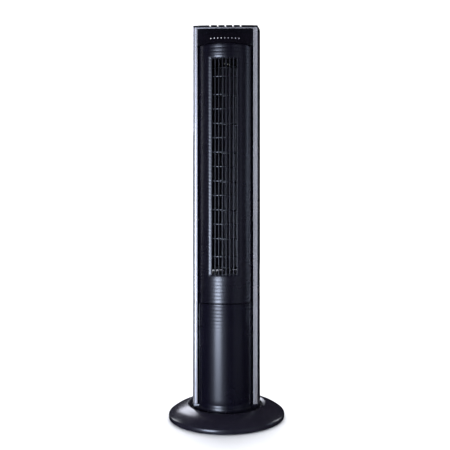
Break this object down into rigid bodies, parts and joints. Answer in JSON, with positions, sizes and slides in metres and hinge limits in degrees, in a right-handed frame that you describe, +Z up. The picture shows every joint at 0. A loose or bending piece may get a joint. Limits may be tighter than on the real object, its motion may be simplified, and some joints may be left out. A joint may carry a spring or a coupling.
{
  "type": "tower fan",
  "caption": "Tall oscillating tower fan with a curved ribbed front grille, silver side trims, top push buttons, a cross-flow impeller and a round sloped base.",
  "frame": {"origin": "on the floor, at the centre of the round base, on the tower's swivel axis", "axes": "+Z up along the tower; -Y is the front, where the air comes out; +X is the fan's left-hand side seen from behind, the right of a viewer in front"},
  "size_m": [0.298, 0.298, 1],
  "materials": {
    "satin_black": "satin",
    "gloss_black": "gloss",
    "silver": "metallic silver paint",
    "rubber": "matt",
    "dark_plastic": "matt",
    "nylon": "natural",
    "steel": "satin",
    "circuit": "solder mask",
    "milky": "translucent",
    "key_grey": "satin gloss"
  },
  "bodies": {
    "base": {"base_cover": "gloss_black", "base_plate": "dark_plastic", "base_screw_1": "steel", "base_screw_2": "steel", "base_screw_3": "steel", "rubber_foot_1": "rubber", "rubber_foot_2": "rubber", "rubber_foot_3": "rubber", "rubber_foot_4": "rubber", "rubber_foot_5": "rubber", "slide_ring": "nylon", "fixed_gear": "nylon"},
    "tower": {"turntable": "satin_black", "retaining_ring": "steel", "oscillation_motor": "steel", "tower_foot": "satin_black", "side_rail_left": "satin_black", "side_rail_right": "satin_black", "silver_trim_left": "silver", "silver_trim_right": "silver", "silver_top_bar": "silver", "rear_housing": "satin_black", "housing_screw_1": "steel", "housing_screw_2": "steel", "housing_screw_3": "steel", "housing_screw_4": "steel", "cord_gland": "rubber", "intake_grille": "satin_black", "grip_pocket": "satin_black", "front_grille": "satin_black", "lower_front_panel": "gloss_black", "duct_scroll": "dark_plastic", "duct_tongue": "dark_plastic", "duct_top_plate": "dark_plastic", "motor_bracket": "steel", "top_bearing_bush": "nylon", "motor_housing": "steel", "motor_capacitor": "dark_plastic", "wiring_lead": "rubber", "control_window": "gloss_black", "indicator_light_guide": "milky", "control_board": "circuit", "button_board": "circuit", "tact_switch_1": "steel", "tact_switch_2": "steel", "tact_switch_3": "steel", "tact_switch_4": "steel", "top_cap": "gloss_black"},
    "rotor": {"impeller": "dark_plastic", "top_stub_shaft": "steel", "motor_shaft": "steel", "shaft_coupling": "rubber", "motor_rotor": "steel"},
    "oscillation_pinion": {"drive_pinion": "nylon"},
    "key_1": {"button_1": "key_grey"},
    "key_2": {"button_2": "key_grey"},
    "key_3": {"button_3": "key_grey"},
    "key_4": {"button_4": "key_grey"}
  },
  "joints": [
    {"name": "tower_swing", "type": "hinge", "parent": "base", "child": "tower", "pos_m": [0, 0, 0.03], "axis": [0, 0, 1], "range_deg": [-35, 35]},
    {"name": "impeller_spin", "type": "hinge", "parent": "tower", "child": "rotor", "pos_m": [0, 0, 0.34], "axis": [0, 0, 1], "continuous": true},
    {"name": "pinion_spin", "type": "hinge", "parent": "tower", "child": "oscillation_pinion", "pos_m": [0, 0.0315, 0.02], "axis": [0, 0, 1], "range_deg": [-88, 88]},
    {"name": "button_1_press", "type": "slide", "parent": "tower", "child": "key_1", "axis": [0, 0, -1], "range_m": [0, 0.0012], "stiffness_N_per_m": 600, "springref_m": -0.0012},
    {"name": "button_2_press", "type": "slide", "parent": "tower", "child": "key_2", "axis": [0, 0, -1], "range_m": [0, 0.0012], "stiffness_N_per_m": 600, "springref_m": -0.0012},
    {"name": "button_3_press", "type": "slide", "parent": "tower", "child": "key_3", "axis": [0, 0, -1], "range_m": [0, 0.0012], "stiffness_N_per_m": 600, "springref_m": -0.0012},
    {"name": "button_4_press", "type": "slide", "parent": "tower", "child": "key_4", "axis": [0, 0, -1], "range_m": [0, 0.0012], "stiffness_N_per_m": 600, "springref_m": -0.0012}
  ],
  "couplings": [
    {"joint": "pinion_spin", "follows": "tower_swing", "ratio": 2.5}
  ]
}
